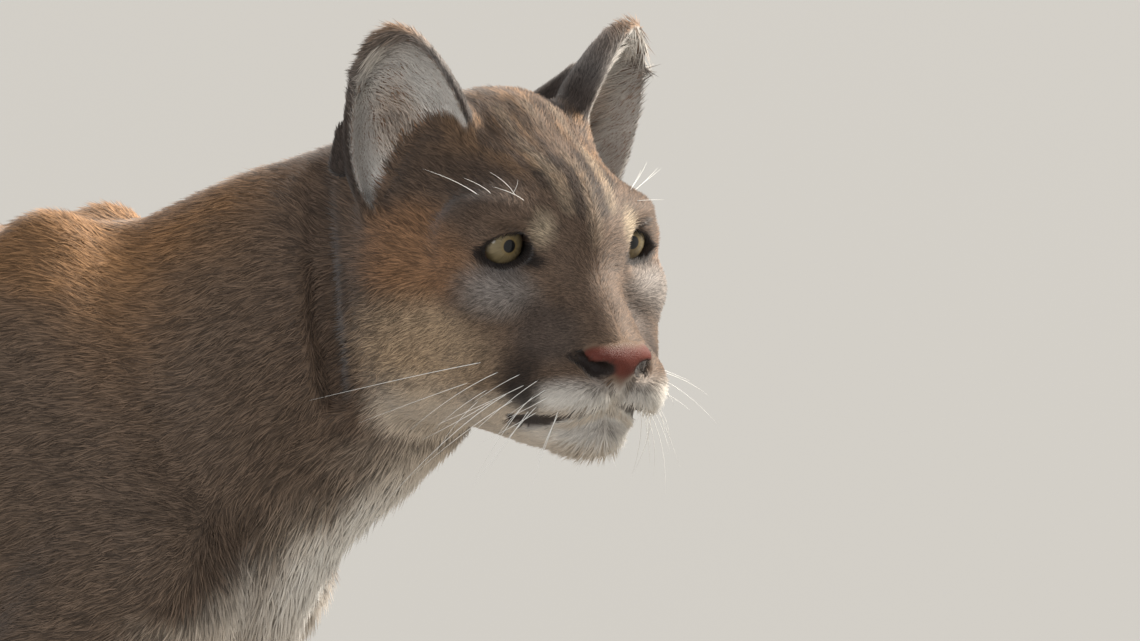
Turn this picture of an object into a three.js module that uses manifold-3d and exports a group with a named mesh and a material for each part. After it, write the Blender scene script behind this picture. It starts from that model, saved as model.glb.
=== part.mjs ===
// A cougar standing on four paws, life size, its head turned a little to its right.
// Millimetres. +X runs from tail to head, +Y is the animal's left, +Z is up, the floor is z = 0.
// Every form is a ball (ellipsoid) or a limb (round cone); neighbours flow into each other
// over a blend width, and the whole is then polygonised once and parted by thin cuts.
import * as THREE from 'three';
import { mergeVertices } from 'three/addons/utils/BufferGeometryUtils.js';
import Module from 'manifold-3d';

const wasm = await Module();
wasm.setup();

// Head attitude in degrees and the point midway between the eyeballs
const HEAD_YAW = -39;
const HEAD_PITCH = -9;
const EYES_AT = [300, -60, 665];
// Left eyeball in the head's own frame (x to the nose, y left, z up, origin between the eyes)
const EYE_AT = [-2.5, 38.5, 0.5];
const SOCKET_RADIUS = 15.5;
const EYE_RADIUS = 15.2;
const LID_THICKNESS = 2.8;
// Ear shell: centre in the head frame and its turn
const EAR_AT = [-61, 60, 47];
const EAR_YAW = 28;
const EAR_PITCH = -12;
const EAR_ROLL = -14;
// The thin gap left between neighbouring nodes
const GAP = 0.3;
// Fore and aft step of each paw from its square stance
const STEP_FORE_LEFT = -26;
const STEP_FORE_RIGHT = 22;
const STEP_HIND_LEFT = 40;
const STEP_HIND_RIGHT = -24;
// Sampling steps and the triangle budgets
const BODY_STEP = 8;
const PAW_STEP = 5;
const HEAD_STEP = 3;
const BODY_TRIANGLES = 5800;
const HEAD_TRIANGLES = 4800;

const FUR = { color: 0xa98763, roughness: 0.9, metalness: 0 };
const HEAD_FUR = { color: 0x9c8168, roughness: 0.9, metalness: 0 };
const EYE = { color: 0xb0a268, roughness: 0.15, metalness: 0 };

// Turns a yaw, pitch and roll in degrees into nine numbers, row by row; the columns are the axes
function turned(yaw, pitch, roll) {
  const y = THREE.MathUtils.degToRad(yaw);
  const p = THREE.MathUtils.degToRad(pitch);
  const r = THREE.MathUtils.degToRad(roll);
  const cy = Math.cos(y), sy = Math.sin(y);
  const cp = Math.cos(p), sp = Math.sin(p);
  const cr = Math.cos(r), sr = Math.sin(r);
  return [
    cy * cp, -sy * cr - cy * sp * sr, sy * sr - cy * sp * cr,
    sy * cp, cy * cr - sy * sp * sr, -cy * sr - sy * sp * cr,
    sp, cp * sr, cp * cr,
  ];
}

// Near distance to an ellipsoid with half sizes r
function ball(c, r, turn) {
  const m = turned(...(turn ?? [0, 0, 0]));
  return (x, y, z) => {
    const a = x - c[0], b = y - c[1], d = z - c[2];
    const u = (a * m[0] + b * m[3] + d * m[6]) / r[0];
    const v = (a * m[1] + b * m[4] + d * m[7]) / r[1];
    const w = (a * m[2] + b * m[5] + d * m[8]) / r[2];
    const near = Math.sqrt(u * u + v * v + w * w);
    const slope = Math.sqrt((u / r[0]) ** 2 + (v / r[1]) ** 2 + (w / r[2]) ** 2);
    return near * (near - 1) / Math.max(slope, 1e-6);
  };
}

// Near distance to a round cone from a to b
function limb(a, b, ra, rb) {
  const d = [b[0] - a[0], b[1] - a[1], b[2] - a[2]];
  const length2 = d[0] * d[0] + d[1] * d[1] + d[2] * d[2];
  return (x, y, z) => {
    const px = x - a[0], py = y - a[1], pz = z - a[2];
    const t = Math.min(1, Math.max(0, (px * d[0] + py * d[1] + pz * d[2]) / length2));
    return Math.hypot(px - t * d[0], py - t * d[1], pz - t * d[2]) - (ra + (rb - ra) * t);
  };
}

function smoothLess(a, b, k) {
  const h = Math.max(k - Math.abs(a - b), 0) / k;
  return Math.min(a, b) - h * h * k * 0.25;
}

// Joins forms one after the other, each over its own blend width
function join(first, ...rest) {
  return (x, y, z) => rest.reduce((d, [k, form]) => smoothLess(d, form(x, y, z), k), first(x, y, z));
}

// Hollows forms out of the first, each over its own blend width
function carve(first, ...rest) {
  return (x, y, z) => rest.reduce((d, [k, form]) => -smoothLess(-d, form(x, y, z), k), first(x, y, z));
}

// A run of round cones along a path
function tube(path, radii) {
  const parts = path.slice(1).map((p, i) => limb(path[i], p, radii[i], radii[i + 1]));
  return (x, y, z) => Math.min(...parts.map((part) => part(x, y, z)));
}

// The same form on both sides of y = 0
function bothSides(form) {
  return (x, y, z) => form(x, Math.abs(y), z);
}

// The form placed in another frame
function placed(form, at, m) {
  return (x, y, z) => {
    const a = x - at[0], b = y - at[1], d = z - at[2];
    return form(a * m[0] + b * m[3] + d * m[6], a * m[1] + b * m[4] + d * m[7],
      a * m[2] + b * m[5] + d * m[8]);
  };
}

// Head, left half, in the head frame
const skull = join(
  ball([-63, 0, 8], [62, 60, 64]),
  [20, ball([-14, 0, 2], [51, 46, 46])],
  [24, ball([-60, 50, -34], [52, 33, 46])],
  [22, ball([-66, 42, -70], [46, 30, 36])],
  [12, limb([14, 1.5, -14.5], [57, 2.5, -46.5], 22, 14.5)],
  [14, ball([36, 0, -60], [34, 34, 27])],
  [18, ball([3, 45, -24], [27, 20, 19], [-24, -16, 0])],
  [18, ball([0, 32, -60], [40, 26, 32])],
  [14, ball([-2, 38, 15], [23, 18, 11], [-14, 6, 6])],
  [12, ball([-11, 48, 1], [19, 17, 15])],
);
const lidShell = ball(EYE_AT, [1, 1, 1].map(() => SOCKET_RADIUS + LID_THICKNESS));
const lidOpening = ball([12, 37.5, -1.4], [15, 18.5, 8.6], [-18, 0, -17]);
const nosePad = join(
  ball([65, 0, -49.5], [11, 21, 9.5]),
  [4, limb([67, 0, -54], [66, 0, -64], 8, 4)],
);
const nostril = tube([[80, 9, -56], [67, 15, -54], [60, 22.5, -48.5]], [4.2, 4.6, 2.8]);
const philtrum = limb([77, 0, -67], [68, 0, -80], 2.2, 3.0);
const mouthLine = tube(
  [[68, 0, -78], [68.5, 10, -78], [62, 19.5, -80], [54, 26.5, -83.5], [42, 30.5, -88],
    [30, 31.5, -90.5], [22, 35, -90.5]],
  [3.4, 3.2, 3, 2.8, 2.6, 2.3, 1.5],
);
const face = join(
  carve(skull, [9, ball([12, 38, -1], [11, 16, 10], [-22, 0, -8])]),
  [6, carve(lidShell, [2.5, lidOpening])],
  [5, ball([43, 20, -67], [33, 22.5, 21], [-16, 0, 0])],
  [18, limb([-50, 28, -80], [32, 12, -90], 24, 14)],
  [18, limb([-50, 0, -78], [36, 0, -86], 30, 16)],
  [4, ball([40, 0, -91], [23, 23, 17])],
  [3, nosePad],
);
const head = bothSides(carve(face, [1.5, nostril], [3, philtrum], [3, mouthLine]));

// Ear: a shell between two balls, wider towards its root and open to the front
function earShell(x, y, z) {
  const spread = 1 + Math.min(40, Math.max(-60, -z)) * 0.0035;
  const outer = ball([0, 0, 0], [26, 35, 62]);
  const inner = ball([10, 0, 3], [26, 30, 56]);
  const v = y / spread;
  const shell = -smoothLess(-outer(x, v, z), inner(x, v, z), 3);
  return -smoothLess(-shell, -(x - 8 + 0.12 * z), 5);
}
const earTurn = new THREE.Matrix3().set(...turned(EAR_YAW, 0, 0))
  .multiply(new THREE.Matrix3().set(...turned(0, EAR_PITCH, 0)))
  .multiply(new THREE.Matrix3().set(...turned(0, 0, EAR_ROLL)))
  .transpose().toArray();
const ears = bothSides(join(
  placed(earShell, EAR_AT, earTurn),
  [12, limb([-92, 34, 44], [-84, 57, 70], 13, 7)],
  [5, limb([-88, 84, 26], [-84, 86, 44], 6, 4.5)],
));

// Trunk, left half
const trunk = bothSides(join(
  ball([-120, 0, 505], [225, 108, 140]),
  [50, ball([33, 0, 505], [100, 88, 122])],
  [60, ball([-370, 0, 530], [200, 92, 108])],
  [60, ball([-590, 0, 560], [125, 95, 112])],
  [40, limb([-40, 0, 611], [-560, 0, 606], 56, 62)],
  [36, limb([6, 44, 649], [66, 76, 500], 30, 46)],
  [30, ball([-10, 72, 560], [72, 32, 92], [0, 20, 0])],
  [50, ball([-600, 66, 500], [105, 48, 120], [0, -12, 0])],
));
const NECK_NARROWING = 1.32;
const roundNeck = join(
  limb([40, 0, 556], [150, -4, 612], 100, 86),
  [20, limb([150, -4, 612], [222, -14, 648], 86, 66)],
  [30, limb([70, 0, 516], [174, -4, 594], 80, 54)],
  [24, limb([20, 0, 592], [112, -4, 626], 68, 63)],
  [20, limb([112, -4, 626], [190, -16, 658], 63, 64)],
);
// The neck is deeper than it is wide
const neck = (x, y, z) => roundNeck(x, y * NECK_NARROWING, z);

// A paw with its four toes; s scales it
function paw(x, y, s) {
  const toe = (off, ahead) => ball([x + ahead * s, y + off * s, 18 * s],
    [27 * s, 12.5 * s, 22 * s], [off * 0.4, -8, 0]);
  return join(
    ball([x + 4 * s, y, 27 * s], [48 * s, 39 * s, 31 * s]),
    [14, ball([x - 14 * s, y, 18 * s], [30 * s, 31 * s, 24 * s])],
    [7, toe(-31, 24)],
    [4, toe(-11, 38)],
    [3, toe(11, 38)],
    [4, toe(31, 24)],
  );
}

function foreLeg(side, step) {
  const leg = join(
    limb([70, 82, 478], [-4, 92, 378], 52, 44),
    [16, limb([0, 92, 374], [14 + step, 88, 250], 45, 37)],
    [8, limb([14 + step, 88, 250], [24 + step, 86, 140], 37, 32)],
    [8, limb([24 + step, 86, 140], [44 + step, 87, 54], 32, 31)],
    [26, paw(58 + step, 88, 1)],
  );
  return (x, y, z) => leg(x, y * side, z);
}

function hindLeg(side, step) {
  const leg = join(
    limb([-612, 68, 520], [-528, 90, 408], 90, 62),
    [26, limb([-528, 90, 404], [-640 + step, 90, 285], 60, 38)],
    [34, limb([-632, 74, 482], [-632 + step, 90, 322], 66, 36)],
    [10, limb([-640 + step, 90, 285], [-694 + step, 87, 206], 38, 29)],
    [16, limb([-706 + step, 87, 226], [-700 + step, 87, 192], 19, 26)],
    [10, limb([-698 + step, 87, 200], [-670 + step, 87, 54], 29, 30)],
    [24, paw(-654 + step, 88, 0.95)],
  );
  return (x, y, z) => leg(x, y * side, z);
}

// Tail along a smooth path
const TAIL_LENGTHS = 24;
const tailPath = new THREE.CatmullRomCurve3([
  [-650, 0, 622], [-726, 0, 588], [-800, 4, 480], [-852, 12, 350], [-912, 26, 228],
  [-1000, 42, 150], [-1096, 54, 138], [-1172, 60, 176],
].map((p) => new THREE.Vector3(...p)), false, 'centripetal');
const tailRadius = (t) => 27 + 19 * Math.max(0, 1 - t * 4.5) ** 1.5 + 5 * (1 - t) - 4 * t ** 8;
const tailSteps = Array.from({ length: TAIL_LENGTHS + 1 }, (_, i) => i / TAIL_LENGTHS);
const tail = tube(tailSteps.map((t) => tailPath.getPoint(t).toArray()), tailSteps.map(tailRadius));

const body = join(
  trunk,
  [34, neck],
  [22, foreLeg(1, STEP_FORE_LEFT)],
  [22, foreLeg(-1, STEP_FORE_RIGHT)],
  [30, hindLeg(1, STEP_HIND_LEFT)],
  [30, hindLeg(-1, STEP_HIND_RIGHT)],
  [30, tail],
);
const headTurn = turned(HEAD_YAW, HEAD_PITCH, 0);
// The fold where the cheek ends against the neck
const cheekFold = bothSides(tube(
  [[-117, 77, 16], [-98, 85, -22], [-86, 85, -62], [-82, 77, -98]],
  [6, 8, 8, 6],
));
const animal = join(
  carve(join(body, [16, placed(head, EYES_AT, headTurn)]), [9, placed(cheekFold, EYES_AT, headTurn)]),
  [8, placed(ears, EYES_AT, headTurn)],
);

// Polygonises a form over a grid by cutting each cell into six tetrahedra
function polygonise(form, xs, ys, zs) {
  const nx = xs.length, ny = ys.length, nz = zs.length;
  const values = new Float64Array(nx * ny * nz);
  for (let i = 0; i < nx; i += 1) {
    for (let j = 0; j < ny; j += 1) {
      for (let k = 0; k < nz; k += 1) {
        const value = form(xs[i], ys[j], zs[k]);
        values[(i * ny + j) * nz + k] = value;
        // Far from the surface the next nodes cannot be near it either
        const reach = Math.floor(Math.abs(value) * 0.8 / (zs[Math.min(nz - 1, k + 1)] - zs[k] || 1));
        for (let skip = 1; skip < reach && k + 1 < nz; skip += 1) {
          k += 1;
          values[(i * ny + j) * nz + k] = Math.sign(value) * 99;
        }
      }
    }
  }
  const corners = [[0, 0, 0], [1, 0, 0], [1, 1, 0], [0, 1, 0], [0, 0, 1], [1, 0, 1], [1, 1, 1], [0, 1, 1]];
  const tetrahedra = [[0, 1, 2, 6], [0, 2, 3, 6], [0, 3, 7, 6], [0, 7, 4, 6], [0, 4, 5, 6], [0, 5, 1, 6]];
  const points = [];
  const triangles = [];
  const known = new Map();
  const place = (n) => {
    const k = n % nz, j = Math.floor(n / nz) % ny, i = Math.floor(n / (ny * nz));
    return [xs[i], ys[j], zs[k]];
  };
  const crossing = (a, b) => {
    const key = a < b ? a * values.length + b : b * values.length + a;
    if (!known.has(key)) {
      const t = Math.min(0.94, Math.max(0.06, values[a] / (values[a] - values[b])));
      const p = place(a), q = place(b);
      known.set(key, points.length / 3);
      points.push(p[0] + t * (q[0] - p[0]), p[1] + t * (q[1] - p[1]), p[2] + t * (q[2] - p[2]));
    }
    return known.get(key);
  };
  for (let i = 0; i + 1 < nx; i += 1) {
    for (let j = 0; j + 1 < ny; j += 1) {
      for (let k = 0; k + 1 < nz; k += 1) {
        const node = corners.map((c) => ((i + c[0]) * ny + j + c[1]) * nz + k + c[2]);
        const under = node.filter((n) => values[n] < 0).length;
        if (under === 0 || under === 8) continue;
        for (const tetra of tetrahedra) {
          const inside = tetra.filter((c) => values[node[c]] < 0).map((c) => node[c]);
          const outside = tetra.filter((c) => values[node[c]] >= 0).map((c) => node[c]);
          if (!inside.length || !outside.length) continue;
          const rings = [];
          if (inside.length === 1) rings.push(outside.map((o) => crossing(inside[0], o)));
          else if (outside.length === 1) rings.push(inside.map((o) => crossing(o, outside[0])));
          else {
            const [a, b] = inside, [c, d] = outside;
            const ring = [crossing(a, c), crossing(a, d), crossing(b, d), crossing(b, c)];
            rings.push([ring[0], ring[1], ring[2]], [ring[0], ring[2], ring[3]]);
          }
          const from = new THREE.Vector3(...place(inside[0]));
          for (const ring of rings) {
            const [a, b, c] = ring.map((n) => new THREE.Vector3().fromArray(points, n * 3));
            const normal = b.clone().sub(a).cross(c.clone().sub(a));
            const outward = normal.dot(a.clone().add(b).add(c).divideScalar(3).sub(from)) > 0;
            triangles.push(ring[0], outward ? ring[1] : ring[2], outward ? ring[2] : ring[1]);
          }
        }
      }
    }
  }
  return { points: Float64Array.from(points), triangles: Int32Array.from(triangles) };
}

// Joins short edges, cheapest change of shape first, down to a number of triangles
function simplify({ points, triangles }, wanted) {
  const count = points.length / 3;
  const faces = triangles.length / 3;
  const quadric = new Float64Array(count * 10);
  const around = Array.from({ length: count }, () => []);
  const alive = new Uint8Array(faces).fill(1);
  const stamp = new Int32Array(count);
  const heap = [];
  const planeOf = (a, b, c) => {
    const ux = points[b * 3] - points[a * 3], uy = points[b * 3 + 1] - points[a * 3 + 1];
    const uz = points[b * 3 + 2] - points[a * 3 + 2], vx = points[c * 3] - points[a * 3];
    const vy = points[c * 3 + 1] - points[a * 3 + 1], vz = points[c * 3 + 2] - points[a * 3 + 2];
    return [uy * vz - uz * vy, uz * vx - ux * vz, ux * vy - uy * vx];
  };
  for (let f = 0; f < faces; f += 1) {
    const [a, b, c] = triangles.subarray(f * 3, f * 3 + 3);
    const n = planeOf(a, b, c);
    const length = Math.hypot(...n) || 1e-12;
    const [x, y, z] = n.map((v) => v / length);
    const d = -(x * points[a * 3] + y * points[a * 3 + 1] + z * points[a * 3 + 2]);
    const terms = [x * x, x * y, x * z, x * d, y * y, y * z, y * d, z * z, z * d, d * d];
    for (const v of [a, b, c]) {
      around[v].push(f);
      terms.forEach((term, i) => { quadric[v * 10 + i] += term * length; });
    }
  }
  const cost = (q, x, y, z) => q[0] * x * x + 2 * q[1] * x * y + 2 * q[2] * x * z + 2 * q[3] * x
    + q[4] * y * y + 2 * q[5] * y * z + 2 * q[6] * y + q[7] * z * z + 2 * q[8] * z + q[9];
  const sum = new Float64Array(10);
  const measure = (a, b) => {
    for (let i = 0; i < 10; i += 1) sum[i] = quadric[a * 10 + i] + quadric[b * 10 + i];
    const [xx, xy, xz, xd, yy, yz, yd, zz, zd] = sum;
    const det = xx * (yy * zz - yz * yz) - xy * (xy * zz - yz * xz) + xz * (xy * yz - yy * xz);
    const mx = (points[a * 3] + points[b * 3]) / 2, my = (points[a * 3 + 1] + points[b * 3 + 1]) / 2;
    const mz = (points[a * 3 + 2] + points[b * 3 + 2]) / 2;
    const span = Math.hypot(points[a * 3] - mx, points[a * 3 + 1] - my, points[a * 3 + 2] - mz);
    let at = [mx, my, mz];
    if (Math.abs(det) > 1e-4 * (xx + yy + zz) ** 3) {
      const best = [
        -(xd * (yy * zz - yz * yz) - xy * (yd * zz - yz * zd) + xz * (yd * yz - yy * zd)) / det,
        -(xx * (yd * zz - zd * yz) - xd * (xy * zz - yz * xz) + xz * (xy * zd - yd * xz)) / det,
        -(xx * (yy * zd - yz * yd) - xy * (xy * zd - yd * xz) + xd * (xy * yz - yy * xz)) / det,
      ];
      if (Math.hypot(best[0] - mx, best[1] - my, best[2] - mz) < 3 * span) at = best;
    }
    return { value: cost(sum, ...at) + 1e-3 * span ** 4, at };
  };
  const push = (a, b) => {
    const { value, at } = measure(a, b);
    heap.push({ value, at, a, b, sa: stamp[a], sb: stamp[b] });
    let i = heap.length - 1;
    while (i > 0) {
      const up = (i - 1) >> 1;
      if (heap[up].value <= heap[i].value) break;
      [heap[up], heap[i]] = [heap[i], heap[up]];
      i = up;
    }
  };
  const pop = () => {
    const top = heap[0];
    const last = heap.pop();
    if (heap.length) {
      heap[0] = last;
      for (let i = 0; ;) {
        let low = i;
        if (2 * i + 1 < heap.length && heap[2 * i + 1].value < heap[low].value) low = 2 * i + 1;
        if (2 * i + 2 < heap.length && heap[2 * i + 2].value < heap[low].value) low = 2 * i + 2;
        if (low === i) break;
        [heap[low], heap[i]] = [heap[i], heap[low]];
        i = low;
      }
    }
    return top;
  };
  const neighbours = (v) => {
    const found = new Set();
    for (const f of around[v]) {
      for (let i = 0; i < 3; i += 1) found.add(triangles[f * 3 + i]);
    }
    found.delete(v);
    return found;
  };
  for (let f = 0; f < faces; f += 1) {
    for (let i = 0; i < 3; i += 1) {
      const a = triangles[f * 3 + i], b = triangles[f * 3 + (i + 1) % 3];
      if (a < b) push(a, b);
    }
  }
  const holds = (v, other, at) => around[v].every((f) => {
    const t = [triangles[f * 3], triangles[f * 3 + 1], triangles[f * 3 + 2]];
    if (t.includes(other)) return true;
    const before = planeOf(...t);
    const kept = points.slice(v * 3, v * 3 + 3);
    points.set(at, v * 3);
    const after = planeOf(...t);
    points.set(kept, v * 3);
    const dot = before[0] * after[0] + before[1] * after[1] + before[2] * after[2];
    return dot > 0.3 * Math.hypot(...before) * Math.hypot(...after) && Math.hypot(...after) > 0.02;
  });
  let left = faces;
  while (left > wanted && heap.length) {
    const { at, a, b, sa, sb } = pop();
    if (stamp[a] !== sa || stamp[b] !== sb) continue;
    const nearB = neighbours(b);
    const shared = [...neighbours(a)].filter((v) => nearB.has(v));
    if (shared.length !== 2 || !holds(a, b, at) || !holds(b, a, at)) continue;
    for (const f of around[b]) {
      const t = triangles.subarray(f * 3, f * 3 + 3);
      if (t.includes(a)) {
        alive[f] = 0;
        left -= 1;
        for (const v of t) {
          if (v !== b) around[v] = around[v].filter((g) => g !== f);
        }
      } else {
        t[t.indexOf(b)] = a;
        around[a].push(f);
      }
    }
    around[b] = [];
    points.set(at, a * 3);
    for (let i = 0; i < 10; i += 1) quadric[a * 10 + i] += quadric[b * 10 + i];
    stamp[a] += 1;
    stamp[b] = -1;
    for (const v of neighbours(a)) push(a, v);
  }
  const kept = [];
  for (let f = 0; f < faces; f += 1) {
    if (alive[f]) kept.push(...triangles.subarray(f * 3, f * 3 + 3));
  }
  return { points, triangles: kept };
}

// Drops unused points and hands the mesh to the solid modeller
function solidOf({ points, triangles }) {
  const renumber = new Map();
  const vertProperties = [];
  const triVerts = [];
  for (const v of triangles) {
    if (!renumber.has(v)) {
      renumber.set(v, renumber.size);
      vertProperties.push(points[v * 3], points[v * 3 + 1], points[v * 3 + 2]);
    }
    triVerts.push(renumber.get(v));
  }
  return new wasm.Manifold(new wasm.Mesh({
    numProp: 3,
    vertProperties: Float32Array.from(vertProperties),
    triVerts: Uint32Array.from(triVerts),
  }));
}

function solidOfGeometry(geometry) {
  geometry.deleteAttribute('normal');
  geometry.deleteAttribute('uv');
  const merged = mergeVertices(geometry, 1e-4);
  return solidOf({ points: merged.attributes.position.array, triangles: Array.from(merged.index.array) });
}

// A block between two corners, in the part's frame or in another
function block(low, high, frame = new THREE.Matrix4()) {
  const geometry = new THREE.BoxGeometry(high[0] - low[0], high[1] - low[1], high[2] - low[2]);
  geometry.translate((low[0] + high[0]) / 2, (low[1] + high[1]) / 2, (low[2] + high[2]) / 2);
  geometry.applyMatrix4(frame);
  return solidOfGeometry(geometry);
}

// Everything ahead of a plane through a point, moved ahead by an offset
function ahead(point, normal, offset) {
  const size = 3000;
  const n = new THREE.Vector3(...normal).normalize();
  const geometry = new THREE.BoxGeometry(size, size, size);
  geometry.translate(size / 2 + offset, 0, 0);
  geometry.applyQuaternion(new THREE.Quaternion().setFromUnitVectors(new THREE.Vector3(1, 0, 0), n));
  geometry.translate(...point);
  return solidOfGeometry(geometry);
}

// A graded axis: pairs of an end value and the step up to it
function axis(start, ...runs) {
  const stops = [start];
  for (const [end, step] of runs) {
    const from = stops[stops.length - 1];
    const n = Math.max(1, Math.round((end - from) / step));
    for (let i = 1; i <= n; i += 1) stops.push(from + (end - from) * i / n);
  }
  return stops;
}

// Cut planes
const HEAD_CUT = { point: [176, -14, 640], normal: [0.95, -0.25, 0.18] };
const NECK_CUT = { point: [96, 0, 590], normal: [0.86, 0, 0.51] };
const cutNormal = new THREE.Vector3(...HEAD_CUT.normal).normalize();
const pastHeadCut = (x, y, z) => (x - HEAD_CUT.point[0]) * cutNormal.x
  + (y - HEAD_CUT.point[1]) * cutNormal.y + (z - HEAD_CUT.point[2]) * cutNormal.z;

const trunkMesh = polygonise(
  (x, y, z) => Math.max(animal(x, y, z), pastHeadCut(x, y, z) - 8),
  axis(-1226, [-760, BODY_STEP], [-560, PAW_STEP + 1], [-20, BODY_STEP + 2], [130, PAW_STEP + 1],
    [232, BODY_STEP]),
  axis(-176, [176, PAW_STEP + 1]),
  axis(-14, [66, PAW_STEP], [744, BODY_STEP]),
);
const headMesh = polygonise(
  (x, y, z) => Math.max(animal(x, y, z), -8 - pastHeadCut(x, y, z)),
  axis(120, [400, HEAD_STEP]),
  axis(-190, [130, HEAD_STEP]),
  axis(500, [800, HEAD_STEP]),
);
let rest = solidOf(simplify(trunkMesh, BODY_TRIANGLES));
let front = solidOf(simplify(headMesh, HEAD_TRIANGLES));

// The soles stand on the floor
rest = rest.subtract(block([-1400, -300, -60], [400, 300, 0]));

const nodes = {};

// Head, ears and eyes
const headMatrix = new THREE.Matrix4().setFromMatrix3(new THREE.Matrix3().set(...headTurn))
  .setPosition(...EYES_AT);
const toWorld = (p) => new THREE.Vector3(...p).applyMatrix4(headMatrix);
const eyeball = (side, radius) => {
  const geometry = new THREE.SphereGeometry(radius, 22, 14);
  geometry.translate(...toWorld([EYE_AT[0], EYE_AT[1] * side, EYE_AT[2]]).toArray());
  return solidOfGeometry(geometry);
};
const EAR_CUT_NORMAL = [0.1, 0.75, 0.66];
const EAR_CUT_DISTANCE = 62;
const EAR_BLOCK = [[-108, 8, -10], [-10, 140, 150]];
front = front.subtract(ahead(HEAD_CUT.point, HEAD_CUT.normal.map((v) => -v), -GAP / 2));
for (const [side, name] of [[1, 'left'], [-1, 'right']]) {
  const normal = new THREE.Vector3(EAR_CUT_NORMAL[0], EAR_CUT_NORMAL[1] * side, EAR_CUT_NORMAL[2])
    .normalize();
  const foot = toWorld(normal.clone().multiplyScalar(EAR_CUT_DISTANCE).toArray()).toArray();
  const out = normal.clone().transformDirection(headMatrix).toArray();
  const [low, high] = EAR_BLOCK;
  const ys = [low[1] * side, high[1] * side].sort((a, b) => a - b);
  const around = block([low[0], ys[0], low[2]], [high[0], ys[1], high[2]], headMatrix);
  nodes[`ear_${name}`] = front.intersect(ahead(foot, out, GAP / 2).intersect(around));
  front = front.subtract(ahead(foot, out, -GAP / 2).intersect(around));
  nodes[`eye_${name}`] = eyeball(side, EYE_RADIUS);
  front = front.subtract(eyeball(side, SOCKET_RADIUS));
}
nodes.head = front;

// Legs are parted from the trunk inside these blocks
const FORE_BLOCK = [[-62, 40, -5], [190, 200, 440]];
const HIND_BLOCK = [[-830, 34, -5], [-452, 200, 470]];
for (const [side, name] of [[1, 'left'], [-1, 'right']]) {
  for (const [[low, high], leg] of [[FORE_BLOCK, 'foreleg'], [HIND_BLOCK, 'hindleg']]) {
    const ys = [low[1] * side, high[1] * side].sort((a, b) => a - b);
    const within = block([low[0], ys[0], low[2]], [high[0], ys[1], high[2]]);
    const wide = block([low[0] - GAP, ys[0] - GAP, low[2]], [high[0] + GAP, ys[1] + GAP, high[2] + GAP]);
    nodes[`${leg}_${name}`] = rest.intersect(within);
    rest = rest.subtract(wide);
  }
}

// Tail in three lengths, cut square to its path
const TAIL_CUTS = [0.25, 0.5, 0.76];
const RUMP_BLOCK = [[-732, -300, -60], [400, 300, 900]];
const TAIL_NAMES = ['tail_base', 'tail_middle', 'tail_tip'];
const tailCut = (t, offset) => ahead(tailPath.getPoint(t).toArray(), tailPath.getTangent(t).toArray(), offset);
const rump = block(...RUMP_BLOCK);
let tailRest = rest.intersect(tailCut(TAIL_CUTS[0], GAP / 2).subtract(rump));
rest = rest.subtract(tailCut(TAIL_CUTS[0], -GAP / 2).subtract(rump));
TAIL_NAMES.forEach((name, i) => {
  const next = TAIL_CUTS[i + 1];
  nodes[name] = next ? tailRest.subtract(tailCut(next, -GAP / 2)) : tailRest;
  if (next) tailRest = tailRest.intersect(tailCut(next, GAP / 2));
});

// Neck and torso
rest = rest.subtract(ahead(HEAD_CUT.point, HEAD_CUT.normal, -GAP / 2));
nodes.neck = rest.intersect(ahead(NECK_CUT.point, NECK_CUT.normal, GAP / 2));
nodes.torso = rest.subtract(ahead(NECK_CUT.point, NECK_CUT.normal, -GAP / 2));

// Keeps the largest closed surface of a solid, as point and index lists
function largestSurface(solid) {
  const { vertProperties, triVerts } = solid.getMesh();
  const parent = Array.from({ length: vertProperties.length / 3 }, (_, i) => i);
  const rootOf = (v) => {
    let root = v;
    while (parent[root] !== root) root = parent[root];
    while (parent[v] !== root) [v, parent[v]] = [parent[v], root];
    return root;
  };
  for (let i = 0; i < triVerts.length; i += 3) {
    parent[rootOf(triVerts[i])] = rootOf(triVerts[i + 1]);
    parent[rootOf(triVerts[i + 1])] = rootOf(triVerts[i + 2]);
  }
  const groups = new Map();
  for (let i = 0; i < triVerts.length; i += 3) {
    const root = rootOf(triVerts[i]);
    if (!groups.has(root)) groups.set(root, []);
    groups.get(root).push(triVerts[i], triVerts[i + 1], triVerts[i + 2]);
  }
  const index = [...groups.values()].sort((a, b) => b.length - a.length)[0];
  return { points: vertProperties, index };
}

// The animal is moved so that the middle of its box stands over the origin
const surfaces = Object.entries(nodes).map(([name, solid]) => [name, largestSurface(solid)]);
const bounds = new THREE.Box3();
for (const [, { points, index }] of surfaces) {
  for (const v of index) bounds.expandByPoint(new THREE.Vector3().fromArray(points, v * 3));
}
const middle = bounds.getCenter(new THREE.Vector3());

const MATERIALS = { head: HEAD_FUR, ear_left: HEAD_FUR, ear_right: HEAD_FUR, eye_left: EYE, eye_right: EYE };
const cougar = new THREE.Group();
cougar.name = 'cougar';
for (const [name, { points, index }] of surfaces) {
  const renumber = new Map();
  const position = [];
  const triangles = index.map((v) => {
    if (!renumber.has(v)) {
      renumber.set(v, renumber.size);
      position.push(points[v * 3] - middle.x, points[v * 3 + 1] - middle.y, points[v * 3 + 2]);
    }
    return renumber.get(v);
  });
  const geometry = new THREE.BufferGeometry();
  geometry.setAttribute('position', new THREE.Float32BufferAttribute(position, 3));
  geometry.setIndex(triangles);
  geometry.computeVertexNormals();
  const mesh = new THREE.Mesh(geometry, new THREE.MeshStandardMaterial(MATERIALS[name] ?? FUR));
  mesh.name = name;
  cougar.add(mesh);
}

export default cougar;
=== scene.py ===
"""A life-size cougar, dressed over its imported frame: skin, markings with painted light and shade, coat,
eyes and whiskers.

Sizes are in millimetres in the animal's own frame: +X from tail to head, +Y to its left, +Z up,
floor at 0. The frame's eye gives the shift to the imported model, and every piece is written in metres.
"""

import math

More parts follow.
